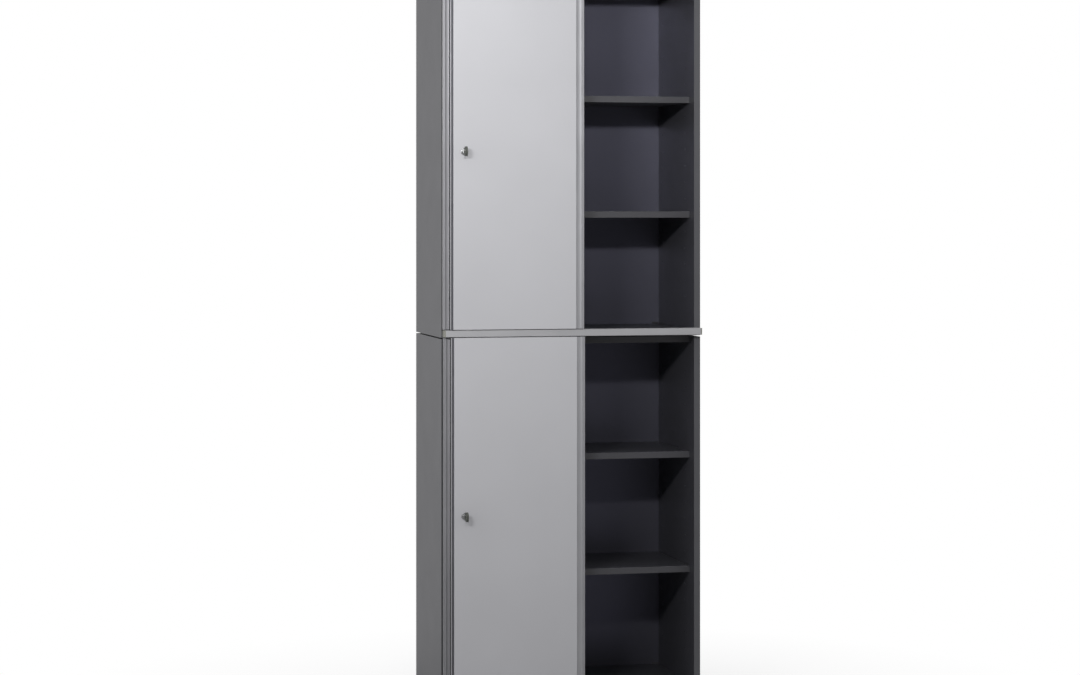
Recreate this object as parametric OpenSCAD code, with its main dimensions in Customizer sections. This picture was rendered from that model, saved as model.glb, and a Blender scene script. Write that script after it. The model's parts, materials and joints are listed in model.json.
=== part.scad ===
// Stacked filing cabinet with sliding doors: a lower unit and an add-on unit,
// each with two overlay doors that run on aluminium rails past each other.
// Millimetres, +Z up. The origin is on the floor under the middle of the whole.

/* [Carcass] */
// Width over the side panels
cab_w = 800; // [760:5:1000]
// Depth of the side panels, front edge to rear edge
cab_d = 420; // [400:5:500]
// Thickness of the melamine faced boards
board_t = 19; // [18:0.5:22]
// Thickness of the back panels
back_t = 3; // [3:0.5:5]
// Distance of the back panels from the rear edges of the sides
back_inset = 8; // [6:0.5:15]
// Depth of the groove in the sides that takes a back panel
back_groove = 7; // [5:0.5:9]
// Height of the lower floor board's underside above the floor
base_h = 65; // [55:1:100]
// Height of a unit, from under its floor board to the top of its top board
unit_h = 1078; // [1018:5:1158]
// Gap between the lower unit and the add-on unit
unit_gap = 4; // [3:0.5:8]
// Thickness of the cover board
cover_t = 25; // [24:0.5:32]
// Setback of the plinth panel behind the front edges of the sides
plinth_setback = 35; // [30:1:80]

/* [Shelves] */
// Top of the low shelf above the floor board
shelf_first = 357; // [330:1:380]
// Height from one shelf to the next
shelf_pitch = 350; // [300:5:400]
// Setback of shelves and top boards behind the front edges of the sides
shelf_setback = 49; // [30:1:80]
// Gap between the end of a shelf and the side panel
shelf_end_gap = 0.5; // [0.3:0.1:1]
// Diameter of the shelf pins and of their holes
pin_d = 5; // [4:0.5:6]
// Diameter of the pin heads inside the shelf notches
pin_head_d = 7; // [6.5:0.5:9]
// Depth of the pin holes
pin_hole_depth = 12; // [9:0.5:14]
// Length of the pin heads
pin_head_l = 8; // [6:0.5:12]
// Spacing of the pin holes up the sides, before it is fitted to the shelf pitch
hole_pitch = 50; // [25:1:60]
// Rows of pin holes below and above each shelf
hole_rows = 5; // [1:1:5]
// Distance of the front pin holes from the front edges of the sides
hole_front = 100; // [80:1:140]
// Distance of the rear pin holes from the rear edges of the sides
hole_rear = 60; // [45:1:100]

/* [Doors] */
// Thickness of the door panels
door_t = 16; // [15:0.5:19]
// Gap between the sides' front edges and the rear door
rear_gap = 1.5; // [1:0.5:4]
// Gap between the rear door and the front door
door_gap = 4; // [3.5:0.5:8]
// Gap between a door's edge and the rail above or below it
door_edge_gap = 2; // [1.5:0.5:4]
// Distance of a closed door's outer edge from the cabinet's outer face
door_side_gap = 0.5; // [0:0.5:3]
// Width by which the closed doors lie over each other
door_overlap = 37; // [34:1:60]
// How much wider the rear door is than the front door
rear_extra = 18; // [10:1:30]
// Left edge of the parked front door, from the cabinet's left face
front_park = 19.5; // [12:0.5:24]
// How far the lower doors stand off their left stops
lower_standoff = 2.5; // [0:0.5:8]
// Length of the tongues that hold the panels in their edge profiles
tongue_l = 7; // [4:0.5:7]
// Thickness of those tongues
tongue_t = 5; // [4:0.5:6]

/* [Edge profiles] */
// Width of the grip profile on a door's outer edge
grip_w = 25; // [24.5:0.5:30]
// Width of the lip along a profile's outer edge
lip_w = 3.7; // [3:0.1:5]
// Width of the narrow groove beside the grip's lip
grip_groove_w = 3.5; // [2:0.5:4]
// Depth of that groove
grip_groove_depth = 6; // [4:0.5:8]
// Depth of the finger recess
dish_depth = 6; // [5:0.5:6.5]
// Width of the strip on a door's inner edge
strip_w = 10; // [9.5:0.5:12]
// Depth of the groove in that strip
strip_groove_depth = 4; // [2:0.5:5]
// How far the rear door's strip stands proud towards the front door
catch_proud = 3; // [2:0.5:3.2]
// Radius of the rounded profile corners
profile_r = 1.2; // [0.5:0.1:1.5]

/* [Rails] */
// Height of the running rails
rail_h = 20; // [18:0.5:24]
// Projection of the rails in front of the sides
rail_out = 35.5; // [34:0.5:48]
// Height of a rail's underside above the floor board's underside
rail_rise = 3; // [2:0.5:6]
// Distance of a rail's end from the cabinet's outer face
rail_inset = 4; // [1:0.5:8]
// Thickness of the plastic end caps
cap_t = 3; // [2:0.5:5]
// Width of the roller tracks on top of a rail
track_w = 7; // [6:0.5:8]
// Depth of the roller tracks
track_depth = 2.5; // [1.5:0.5:3]
// Width of the guide grooves under a rail
guide_w = 8; // [7.5:0.5:9]
// Depth of the guide grooves
guide_depth = 8; // [6:0.5:8]
// Wall of the hollow rail extrusions
rail_wall = 1.6; // [1.2:0.1:2]
// Depth of the screwed flange behind a rail
flange_depth = 25; // [15:1:30]
// Thickness of that flange
flange_t = 1.6; // [1:0.1:2]
// Height of the head guide under the cover board
head_h = 10; // [9.5:0.5:12]

/* [Running gear] */
// Diameter of the rollers
roller_d = 20; // [18:0.5:24]
// Width of the rollers
roller_w = 5; // [4:0.5:5.5]
// Diameter of the roller axles
axle_d = 4; // [3:0.5:5]
// Running clearance between axle and roller, on the radius
axle_clear = 0.05; // [0.02:0.01:0.1]
// Height of a roller above the floor of its track
roller_lift = 0.3; // [0.2:0.1:0.5]
// Length of a roller carrier along the door
carrier_l = 36; // [34:1:50]
// Thickness of a roller carrier
carrier_t = 10; // [9:0.5:11]
// Height of a roller carrier
carrier_h = 26; // [25:1:40]
// Distance from a door's edge to the middle of its roller
roller_from_edge = 60; // [48:1:90]
// Length of a guide shoe along the door
shoe_l = 30; // [20:1:40]
// Depth of a guide shoe's foot in the door
shoe_foot = 18; // [12:1:30]
// Distance from a door's edge to the near end of its guide shoe
shoe_from_edge = 42; // [36:1:80]
// Sideways play of a guide shoe in its groove
shoe_play = 0.4; // [0.2:0.1:0.8]
// Play of carriers and shoes in their pockets
pocket_play = 0.2; // [0.1:0.05:0.3]

/* [Lock] */
// Distance of the lock from the front door's inner edge
lock_from_edge = 43; // [41:0.5:46]
// Diameter of the lock's rosette
rosette_d = 23; // [21:0.5:30]
// Thickness of the rosette
rosette_t = 2.5; // [1.5:0.5:4]
// Diameter of the lock housing in the door
housing_d = 19; // [18:0.5:20]
// Diameter of the push barrel
barrel_d = 16; // [15:0.5:17]
// How far the barrel stands out of the rosette when open
barrel_out = 9; // [8.5:0.5:12]
// Travel of the barrel when it is pressed in
barrel_travel = 8; // [6:0.5:8]
// How far the bolt then reaches behind the front door
bolt_reach = 3.3; // [2:0.1:3.3]
// Diameter of the bolt
bolt_d = 8; // [6:0.5:9]
// Running clearance of barrel and plug, on the radius
lock_clear = 0.05; // [0.02:0.01:0.1]
// Diameter of the key plug in the barrel
plug_d = 10; // [9:0.5:11]
// Length of the key plug
plug_l = 15; // [12:0.5:16]
// Height of the key's blade
blade_h = 7; // [5:0.5:7.5]
// Thickness of the key's blade
blade_t = 2; // [1.5:0.1:2.5]
// Spacing of the cuts along the key's blade
cut_pitch = 2.5; // [2:0.1:4]
// Depth of the deepest cut
cut_depth = 2.4; // [1:0.1:3]
// Length of the key's neck in front of the plug
key_neck = 4; // [2:0.5:8]
// Length of the key's bow, out from its neck
bow_l = 25; // [20:0.5:26]
// Height of the key's bow
bow_h = 29; // [26.5:0.5:33]
// Thickness of the key's bow
bow_t = 4; // [3:0.5:5]
// Width of the rim round the recess in each side of the bow
bow_rim = 2.2; // [1:0.1:3]
// Depth of that recess
bow_recess = 0.8; // [0.3:0.1:1]
// Diameter of the hole for the key ring
ring_hole_d = 4; // [3:0.5:5]
// Wall between that hole and the bow's far end
ring_wall = 3; // [2:0.5:4]

/* [Feet and small parts] */
// Clearance under the lower side panels
side_clear = 8; // [5:1:15]
// Diameter of the levelling feet
foot_d = 36; // [28:1:44]
// Thickness of the levelling feet
foot_t = 6; // [4:0.5:8]
// Diameter of the foot spindles
spindle_d = 10; // [8:0.5:12]
// Diameter of the spindle sockets under the floor board
socket_d = 22; // [18:1:28]
// Length of those sockets
socket_l = 42; // [30:1:48]
// Distance of the feet from the inner faces of the sides
foot_side = 45; // [30:1:80]
// Distance of the feet from the front and rear edges of the sides
foot_setback = 90; // [80:1:120]
// Diameter of the spacers between the units
spacer_d = 24; // [16:1:40]
// Length of the clips that hold the back panels
clip_l = 19; // [12:1:30]
// Height of those clips
clip_h = 6; // [4:0.5:10]
// Depth of those clips
clip_depth = 5; // [3:0.5:8]

/* [Hidden] */
$fn = 48;
LOWER = 0;
UPPER = 1;
REAR = 0;
FRONT = 1;
LEFT = 0;
RIGHT = 1;

// Colours of the finishes
graphite = [0.27, 0.27, 0.29];
light_grey = [0.75, 0.75, 0.77];
aluminium = [0.62, 0.62, 0.64];
dark_plastic = [0.16, 0.16, 0.17];
nickel = [0.7, 0.7, 0.68];

// Heights of the two units; index 0 is the lower one
unit_z = [base_h, base_h + unit_h + unit_gap];
floor_top = [for (z = unit_z) z + board_t];
unit_top = [for (z = unit_z) z + unit_h];
rail_z = [for (z = unit_z) z + rail_rise];
head_z = unit_top[UPPER] + unit_gap + rail_rise;
total_h = unit_top[UPPER] + cover_t;
inner_w = cab_w - 2 * board_t;
back_y = cab_d - back_inset - back_t;

// Doors, seen from the front; index 0 is the rear door, 1 the front door
front_w = (cab_w - 2 * door_side_gap + door_overlap - rear_extra) / 2;
door_w = [front_w + rear_extra, front_w];
park_x = [door_side_gap, front_park];
door_back_y = [-rear_gap, -rear_gap - door_t - door_gap];
door_mid_y = [for (y = door_back_y) y - door_t / 2];
door_z = [for (z = rail_z) z + rail_h + door_edge_gap];
door_h = rail_z[UPPER] - door_edge_gap - door_z[LOWER];
standoff = [lower_standoff, 0];

// Rails
rail_x = rail_inset + cap_t;
rail_len = cab_w - 2 * rail_x;
track_z = rail_h - track_depth;
shoe_rise = guide_depth - 2;
chamber_z0 = guide_depth + rail_wall;
chamber_z1 = track_z - rail_wall;
rail_mid_y = (door_mid_y[REAR] + door_mid_y[FRONT]) / 2;
rail_chambers = [
  [rail_wall - rail_out, rail_mid_y - rail_wall / 2],
  [rail_mid_y + rail_wall / 2, -rail_wall]
];
stop_gap = 0.3;
stop_drop = 0.5;
plug_in = 10;
fuse = 0.5;

// Edge profiles
grip_land = 0.8;
dish_w = grip_w - lip_w - grip_groove_w - 2 * grip_land;
profile_wall = 1.8;
tongue_back = 2.5;
tongue_play = 0.5;
tongue_fit = 0.1;

// Running gear; heights are above the door's lower edge
roller_z = roller_d / 2 + roller_lift - door_edge_gap - track_depth;
wheel_slot_l = roller_d + 3;
wheel_slot_w = roller_w + 0.8;
wheel_slot_h = roller_z + roller_d / 2 + 2;
pocket_y = -(door_t + carrier_t) / 2;
tread_edge = 0.8;

// Lock; depths are measured from the front door's back face
lock_z = door_h / 2;
collar_t = 2;
barrel_y = -door_t - rosette_t - barrel_out;
shoulder_y = -collar_t - barrel_travel - 0.5;
bolt_tip_y = bolt_reach - barrel_travel;
blade_l = plug_l - 3;
bow_y = -key_neck - bow_l / 2;
ring_y = -key_neck - bow_l + ring_wall + ring_hole_d / 2;

// The pins sit in the row of holes at the middle of each shelf's edge
shelf_top = [shelf_first, shelf_first + shelf_pitch];
pin_row_z = shelf_first - board_t / 2;
hole_steps = round(shelf_pitch / hole_pitch);
hole_step = shelf_pitch / hole_steps;
hole_y = [hole_front, cab_d - hole_rear];
notch_w = pin_head_d + 0.4;
back_gap = 1;
clip_side = 3;
socket_z = base_h - socket_l;

// Middle of the whole, front to back, for the origin
front_most = door_back_y[FRONT] + barrel_y - key_neck - bow_l;
origin_y = (front_most + cab_d) / 2;

function door_x(unit, door) = park_x[door] + standoff[unit];
function foot_x() = [board_t + foot_side, cab_w - board_t - foot_side];
function foot_y() = [foot_setback, cab_d - foot_setback];

// Moves a piece from the cabinet's corner to the origin of the whole
module placed() {
  translate([-cab_w / 2, -origin_y, 0]) children();
}

// Extrudes a section drawn in Y and Z along X
module along_x(x, length) {
  translate([x, 0, 0]) rotate([90, 0, 90]) linear_extrude(length) children();
}

// Draws a piece made for the left end, or its mirror image for the right end
module mirrored_if(side, width) {
  if (side == LEFT) children();
  else translate([width, 0, 0]) mirror([1, 0, 0]) children();
}

// Rectangle whose two left corners are round
module soft_edge(width, height, r) {
  translate([r, 0]) square([width - r, height]);
  translate([0, r]) square([width, height - 2 * r]);
  for (z = [r, height - r]) translate([r, z]) circle(r);
}

// Rectangle whose lower left corner is round
module round_corner(width, height, r) {
  translate([r, 0]) square([width - r, height]);
  translate([0, r]) square([width, height - r]);
  translate([r, r]) circle(r);
}

// Two columns of pin holes through the inner face, in step with the shelves
module pin_holes(z0) {
  for (y = hole_y, row = [-hole_rows : hole_steps + hole_rows])
    translate([board_t - pin_hole_depth, y, z0 + pin_row_z + row * hole_step])
      rotate([0, 90, 0]) cylinder(h = pin_hole_depth + 1, d = pin_d);
}

// Side panel with its pin holes and the groove for the back panel
module side_panel(unit, side) {
  z_low = unit == LOWER ? side_clear : unit_z[unit];
  height = unit_top[unit] - z_low;
  color(graphite) placed() mirrored_if(side, cab_w) difference() {
    translate([0, 0, z_low]) cube([board_t, cab_d, height]);
    translate([board_t - back_groove, back_y, z_low - 1])
      cube([back_groove + 1, back_t, height + 2]);
    pin_holes(floor_top[unit]);
  }
}

// Floor board behind the web of the rail that is screwed to it
module floor_board(unit) {
  color(graphite) placed() translate([board_t, flange_t, unit_z[unit]])
    cube([inner_w, back_y - flange_t, board_t]);
}

// Top board, set back like the shelves
module top_board(unit) {
  color(graphite) placed() translate([board_t, shelf_setback, unit_top[unit] - board_t])
    cube([inner_w, back_y - shelf_setback, board_t]);
}

// Thin back panel, held in the grooves of the two sides
module back_panel(unit) {
  edge_play = 0.5;
  x0 = board_t - back_groove + edge_play;
  color(graphite) placed() translate([x0, back_y, unit_z[unit]])
    cube([cab_w - 2 * x0, back_t, unit_h]);
}

// Adjustable shelf; notches in its ends drop over the pin heads
module shelf(unit, level) {
  width = inner_w - 2 * shelf_end_gap;
  z0 = floor_top[unit] + shelf_top[level] - board_t;
  color(graphite) placed() translate([board_t + shelf_end_gap, 0, z0]) difference() {
    translate([0, shelf_setback, 0])
      cube([width, back_y - back_gap - shelf_setback, board_t]);
    for (side = [LEFT, RIGHT], y = hole_y) mirrored_if(side, width)
      translate([-1, y - notch_w / 2, -1])
        cube([1 + pin_head_l + 1, notch_w, 1 + board_t / 2 + pin_head_d / 2]);
  }
}

// Pins with collars in the side holes, under every shelf end
module shelf_pins() {
  color(nickel) placed()
    for (unit = [LOWER, UPPER], top = shelf_top, side = [LEFT, RIGHT], y = hole_y)
      mirrored_if(side, cab_w)
        translate([board_t, y, floor_top[unit] + top - board_t / 2]) rotate([0, 90, 0]) {
          translate([0, 0, 1 - pin_hole_depth]) cylinder(h = pin_hole_depth, d = pin_d);
          cylinder(h = shelf_end_gap + pin_head_l, d = pin_head_d);
        }
}

// Small wedges that press the back panel against its groove, in the corners
module back_panel_clips() {
  wedge = [[0, 0], [-clip_depth, 0], [-clip_depth / 3, clip_h], [0, clip_h]];
  color(dark_plastic) placed()
    for (unit = [LOWER, UPPER], side = [LEFT, RIGHT], end = [0, 1])
      mirrored_if(side, cab_w) translate([0, back_y, 0])
        translate([0, 0, end == 0 ? floor_top[unit] : unit_top[unit] - board_t])
          mirror([0, 0, end])
            along_x(board_t + clip_side, clip_l) polygon(wedge);
}

// Cover board, rebated in front for the head guide
module cover_board() {
  section = [
    [-rail_out, head_z + head_h - unit_top[UPPER]],
    [0, head_z + head_h - unit_top[UPPER]],
    [0, 0],
    [cab_d, 0],
    [cab_d, cover_t],
    [-rail_out, cover_t]
  ];
  color(graphite) placed() translate([0, 0, unit_top[UPPER]])
    along_x(0, cab_w) polygon(section);
}

// Plinth panel between the lower sides
module plinth_panel() {
  color(graphite) placed() translate([board_t, plinth_setback, side_clear])
    cube([inner_w, board_t, base_h - side_clear]);
}

// Levelling feet with their spindles, and the sockets under the floor board
module levelling_feet() {
  flange_h = 3;
  color(dark_plastic) placed() for (x = foot_x(), y = foot_y()) translate([x, y, 0]) {
    rotate_extrude() polygon([
      [0, 0], [foot_d / 2, 0], [foot_d / 2, foot_t / 2], [foot_d / 3, foot_t],
      [spindle_d / 2, foot_t], [spindle_d / 2, base_h - 2], [0, base_h - 2]
    ]);
    difference() {
      union() {
        translate([0, 0, socket_z]) cylinder(h = base_h - socket_z, d = socket_d);
        translate([0, 0, base_h - flange_h]) cylinder(h = flange_h, d = foot_d);
      }
      translate([0, 0, socket_z - 1])
        cylinder(h = base_h - socket_z + 2, d = spindle_d + 2 * axle_clear);
    }
  }
}

// Pads that carry the add-on unit on the lower one
module unit_spacers() {
  color(dark_plastic) placed() for (x = foot_x(), y = foot_y())
    translate([x, y, unit_top[LOWER]]) cylinder(h = unit_gap, d = spacer_d);
}

// Section of the running rail: tracks above, guide grooves below, hollow between
module rail_section() {
  difference() {
    translate([-rail_out, 0]) soft_edge(rail_out, rail_h, profile_r);
    for (y = door_mid_y) {
      translate([y - track_w / 2, track_z]) square([track_w, track_depth + 1]);
      translate([y - guide_w / 2, -1]) square([guide_w, guide_depth + 1]);
    }
    for (span = rail_chambers)
      translate([span[0], chamber_z0]) square([span[1] - span[0], chamber_z1 - chamber_z0]);
  }
}

// Running rail in front of a floor board, hooked over it by a flange screwed on top
module running_rail(unit) {
  board_top = board_t - rail_rise;
  flange_section = [
    [0, 0],
    [flange_t, 0],
    [flange_t, board_top],
    [flange_depth, board_top],
    [flange_depth, board_top + flange_t],
    [0, board_top + flange_t]
  ];
  color(aluminium) placed() translate([0, 0, rail_z[unit]]) {
    along_x(rail_x, rail_len) rail_section();
    along_x(board_t, inner_w) polygon(flange_section);
  }
}

// Guide profile under the cover board's rebate, for the upper doors
module head_guide() {
  color(aluminium) placed() translate([0, 0, head_z])
    along_x(rail_x, rail_len) difference() {
      translate([-rail_out, 0]) square([rail_out, head_h]);
      for (y = door_mid_y) translate([y - guide_w / 2, -1]) square([guide_w, guide_depth + 1]);
    }
}

// End cap of a rail; its tongues in the guide grooves stop the doors
module end_cap(height, stops) {
  along_x(rail_inset, cap_t) translate([-rail_out, 0]) soft_edge(rail_out, height, profile_r);
  for (door = [REAR, FRONT])
    translate([rail_x - fuse, door_mid_y[door] - guide_w / 2 + shoe_play, stop_drop])
      cube([stops[door] + shoe_from_edge - stop_gap - rail_x + fuse,
            guide_w - 2 * shoe_play, guide_depth - 2 * stop_drop]);
  if (height == rail_h) for (span = rail_chambers)
    translate([rail_x - fuse, span[0] + pocket_play, chamber_z0 + pocket_play])
      cube([plug_in + fuse, span[1] - span[0] - 2 * pocket_play,
            chamber_z1 - chamber_z0 - 2 * pocket_play]);
}

module rail_end_caps() {
  right_stops = [door_side_gap, door_side_gap];
  color(dark_plastic) placed() for (side = [LEFT, RIGHT]) mirrored_if(side, cab_w) {
    stops = side == LEFT ? park_x : right_stops;
    for (z = rail_z) translate([0, 0, z]) end_cap(rail_h, stops);
    translate([0, 0, head_z]) end_cap(head_h, stops);
  }
}

// Places a piece drawn with its door's lower left back corner at the origin
module on_door(unit, door) {
  placed() translate([door_x(unit, door), door_back_y[door], door_z[unit]]) children();
}

// Grip profile of a door's outer edge: lip, narrow groove and finger recess
module grip_section() {
  dish_r = (dish_w * dish_w / 4 + dish_depth * dish_depth) / (2 * dish_depth);
  dish_x = grip_w - grip_land - dish_w / 2;
  slot_x = grip_w - tongue_l - tongue_play;
  difference() {
    translate([0, -door_t]) round_corner(grip_w, door_t, profile_r);
    translate([lip_w, -door_t - 1]) square([grip_groove_w, grip_groove_depth + 1]);
    translate([dish_x, dish_depth - door_t - dish_r]) circle(dish_r);
    translate([profile_wall, dish_depth + profile_wall - door_t])
      square([slot_x - 2 * profile_wall, door_t - dish_depth - 2 * profile_wall]);
    translate([slot_x, -tongue_back - tongue_t])
      square([tongue_l + tongue_play + 1, tongue_t]);
  }
}

module door_grip(unit, door) {
  color(aluminium) on_door(unit, door) mirrored_if(door, door_w[door])
    linear_extrude(door_h) grip_section();
}

// Strip of a door's inner edge; the rear door's one stands proud to catch the bolt
module strip_section(proud) {
  slot_x = strip_w - tongue_l - tongue_play;
  difference() {
    union() {
      translate([0, -door_t]) round_corner(strip_w, door_t, profile_r);
      if (proud > 0) translate([0, -door_t - proud]) square([lip_w, proud + profile_r]);
    }
    translate([lip_w, -door_t - 1]) square([strip_w, strip_groove_depth + 1]);
    translate([slot_x, -tongue_back - tongue_t])
      square([tongue_l + tongue_play + 1, tongue_t]);
  }
}

module door_strip(unit, door) {
  proud = door == REAR ? catch_proud : 0;
  color(aluminium) on_door(unit, door) mirrored_if(1 - door, door_w[door])
    linear_extrude(door_h) strip_section(proud);
}

// Door panel with tongues on both edges and pockets for the running gear
module door_panel(unit, door) {
  left_w = door == REAR ? grip_w : strip_w;
  right_w = grip_w + strip_w - left_w;
  panel_w = door_w[door] - left_w - right_w;
  color(light_grey) on_door(unit, door) difference() {
    union() {
      translate([left_w, -door_t, 0]) cube([panel_w, door_t, door_h]);
      translate([left_w - tongue_l, tongue_fit - tongue_back - tongue_t, 0])
        cube([panel_w + 2 * tongue_l, tongue_t - 2 * tongue_fit, door_h]);
    }
    for (side = [LEFT, RIGHT]) mirrored_if(side, door_w[door]) {
      translate([roller_from_edge - carrier_l / 2 - pocket_play, pocket_y - pocket_play, -1])
        cube([carrier_l + 2 * pocket_play, carrier_t + 2 * pocket_play,
              carrier_h + pocket_play + 1]);
      translate([shoe_from_edge - pocket_play, pocket_y - pocket_play,
                 door_h - shoe_foot - pocket_play])
        cube([shoe_l + 2 * pocket_play, carrier_t + 2 * pocket_play, shoe_foot + 2]);
    }
    if (door == FRONT) translate([lock_from_edge, 1, lock_z])
      rotate([90, 0, 0]) cylinder(h = door_t + 2, d = housing_d + 2 * lock_clear);
  }
}

// Carriers let into the door's lower edge, each with the axle of its roller
module roller_carriers(unit, door) {
  color(dark_plastic) on_door(unit, door)
    for (side = [LEFT, RIGHT]) mirrored_if(side, door_w[door])
      translate([roller_from_edge, pocket_y, 0]) {
        difference() {
          translate([-carrier_l / 2, 0, 0]) cube([carrier_l, carrier_t, carrier_h]);
          translate([-wheel_slot_l / 2, (carrier_t - wheel_slot_w) / 2, -1])
            cube([wheel_slot_l, wheel_slot_w, wheel_slot_h + 1]);
        }
        translate([0, (carrier_t + wheel_slot_w) / 2 + 1, roller_z])
          rotate([90, 0, 0]) cylinder(h = wheel_slot_w + 2, d = axle_d);
      }
}

// Roller with a hub, a thin web and a crowned tread
module roller(unit, door, side) {
  hub_r = axle_d / 2 + 2;
  rim_r = roller_d / 2 - 2;
  web = roller_w / 2 - 1;
  half = roller_w / 2;
  color(light_grey) on_door(unit, door) mirrored_if(side, door_w[door])
    translate([roller_from_edge, pocket_y + carrier_t / 2, roller_z])
      rotate([90, 0, 0]) rotate_extrude() polygon([
        [axle_d / 2 + axle_clear, -half], [hub_r, -half], [hub_r, -web], [rim_r, -web],
        [rim_r, -half], [roller_d / 2 - tread_edge, -half], [roller_d / 2, tread_edge - half],
        [roller_d / 2, half - tread_edge], [roller_d / 2 - tread_edge, half], [rim_r, half],
        [rim_r, web], [hub_r, web], [hub_r, half], [axle_d / 2 + axle_clear, half]
      ]);
}

// Guide shoes let into the door's upper edge; their noses run in the groove above
module guide_shoes(unit, door) {
  nose_w = guide_w - 2 * shoe_play;
  color(dark_plastic) on_door(unit, door)
    for (side = [LEFT, RIGHT]) mirrored_if(side, door_w[door])
      translate([shoe_from_edge, pocket_y, door_h]) {
        translate([0, 0, -shoe_foot]) cube([shoe_l, carrier_t, shoe_foot]);
        translate([nose_w / 2, (carrier_t - nose_w) / 2, 0])
          cube([shoe_l - nose_w, nose_w, door_edge_gap + shoe_rise]);
        for (x = [nose_w / 2, shoe_l - nose_w / 2])
          translate([x, carrier_t / 2, 0])
            cylinder(h = door_edge_gap + shoe_rise, d = nose_w);
      }
}

// Draws a turned piece of the lock; its section has radius first, then depth in Y
module turned_lock(unit) {
  on_door(unit, FRONT) translate([lock_from_edge, 0, lock_z])
    rotate([-90, 0, 0]) rotate_extrude() children();
}

// Lock housing: rosette, body through the door and a collar round the bolt
module lock_housing(unit) {
  bore_r = barrel_d / 2 + lock_clear;
  chamfer = 1;
  color(nickel) turned_lock(unit) polygon([
    [bore_r, -door_t - rosette_t], [rosette_d / 2 - chamfer, -door_t - rosette_t],
    [rosette_d / 2, -door_t - rosette_t + chamfer], [rosette_d / 2, -door_t],
    [housing_d / 2, -door_t], [housing_d / 2, 0], [bolt_d / 2 + lock_clear, 0],
    [bolt_d / 2 + lock_clear, -collar_t], [bore_r, -collar_t]
  ]);
}

// Push barrel with its bolt behind and the bore for the key plug in front
module lock_barrel(unit) {
  plug_r = plug_d / 2 + lock_clear;
  chamfer = 0.8;
  color(nickel) turned_lock(unit) polygon([
    [0, barrel_y + plug_l], [plug_r, barrel_y + plug_l], [plug_r, barrel_y],
    [barrel_d / 2 - chamfer, barrel_y], [barrel_d / 2, barrel_y + chamfer],
    [barrel_d / 2, shoulder_y], [bolt_d / 2, shoulder_y], [bolt_d / 2, bolt_tip_y],
    [0, bolt_tip_y]
  ]);
}

// Plug that the key turns, with its keyway
module lock_plug(unit) {
  way_t = blade_t + 2 * pocket_play;
  way_h = blade_h + 2 * pocket_play;
  chamfer = 0.4;
  color(nickel) difference() {
    turned_lock(unit) translate([0, barrel_y]) polygon([
      [0, 0], [plug_d / 2 - chamfer, 0], [plug_d / 2, chamfer],
      [plug_d / 2, plug_l - lock_clear], [0, plug_l - lock_clear]
    ]);
    on_door(unit, FRONT) translate([lock_from_edge - way_t / 2, barrel_y - 1, lock_z - way_h / 2])
      cube([way_t, blade_l + 2, way_h]);
  }
}

// Outline of the key's bow, drawn in Y and Z
module bow_outline(inset) {
  r = bow_l / 2 - inset;
  rise = (bow_h - bow_l) / 2;
  translate([bow_y, 0]) {
    for (z = [-rise, rise]) translate([0, z]) circle(r);
    translate([-r, -rise]) square([2 * r, 2 * rise]);
  }
}

// Outline of the key's blade, its cuts of changing depth and its tapered tip
module blade_outline() {
  tip = blade_h / 3;
  flat = 0.6;
  shallowest = 0.45;
  scatter = 137;
  difference() {
    polygon([
      [-key_neck - 1, -blade_h / 2], [blade_l - tip, -blade_h / 2], [blade_l, -tip / 2],
      [blade_l, tip / 2], [blade_l - tip, blade_h / 2], [-key_neck - 1, blade_h / 2]
    ]);
    for (i = [1 : floor(blade_l / cut_pitch) - 1]) {
      depth = cut_depth * (shallowest + (1 - shallowest) * abs(sin(scatter * i)));
      translate([i * cut_pitch, blade_h / 2]) polygon([
        [-cut_pitch / 2, 0.1], [-flat / 2, -depth], [flat / 2, -depth], [cut_pitch / 2, 0.1]
      ]);
    }
  }
}

// Key in the plug, its bow upright, recessed on both sides, with a hole for a ring
module key(unit) {
  neck_h = blade_h + 2;
  color(dark_plastic) on_door(unit, FRONT)
    translate([lock_from_edge, barrel_y, lock_z]) {
      along_x(-blade_t / 2, blade_t) blade_outline();
      difference() {
        along_x(-bow_t / 2, bow_t) {
          bow_outline(0);
          translate([bow_y, -neck_h / 2]) square([-bow_y - 1, neck_h]);
        }
        for (x = [-bow_t / 2 - 1, bow_t / 2 - bow_recess]) along_x(x, bow_recess + 1)
          difference() {
            bow_outline(bow_rim);
            translate([ring_y, 0]) circle(d = ring_hole_d + 2 * ring_wall);
          }
        along_x(-bow_t, 2 * bow_t) translate([ring_y, 0]) circle(d = ring_hole_d);
      }
    }
}

side_panel(LOWER, LEFT);  // lower_side_left
side_panel(LOWER, RIGHT);  // lower_side_right
floor_board(LOWER);  // lower_floor_board
top_board(LOWER);  // lower_top_board
back_panel(LOWER);  // lower_back_panel
shelf(LOWER, 0);  // lower_shelf_low
shelf(LOWER, 1);  // lower_shelf_high
side_panel(UPPER, LEFT);  // upper_side_left
side_panel(UPPER, RIGHT);  // upper_side_right
floor_board(UPPER);  // upper_floor_board
top_board(UPPER);  // upper_top_board
back_panel(UPPER);  // upper_back_panel
shelf(UPPER, 0);  // upper_shelf_low
shelf(UPPER, 1);  // upper_shelf_high
cover_board();
plinth_panel();
levelling_feet();
unit_spacers();
shelf_pins();
back_panel_clips();
running_rail(LOWER);  // base_rail
running_rail(UPPER);  // seam_rail
head_guide();
rail_end_caps();
door_panel(LOWER, REAR);  // lower_rear_panel
door_grip(LOWER, REAR);  // lower_rear_grip
door_strip(LOWER, REAR);  // lower_rear_strip
roller_carriers(LOWER, REAR);  // lower_rear_carriers
roller(LOWER, REAR, LEFT);  // lower_rear_roller_left
roller(LOWER, REAR, RIGHT);  // lower_rear_roller_right
guide_shoes(LOWER, REAR);  // lower_rear_shoes
door_panel(LOWER, FRONT);  // lower_front_panel
door_grip(LOWER, FRONT);  // lower_front_grip
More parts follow.
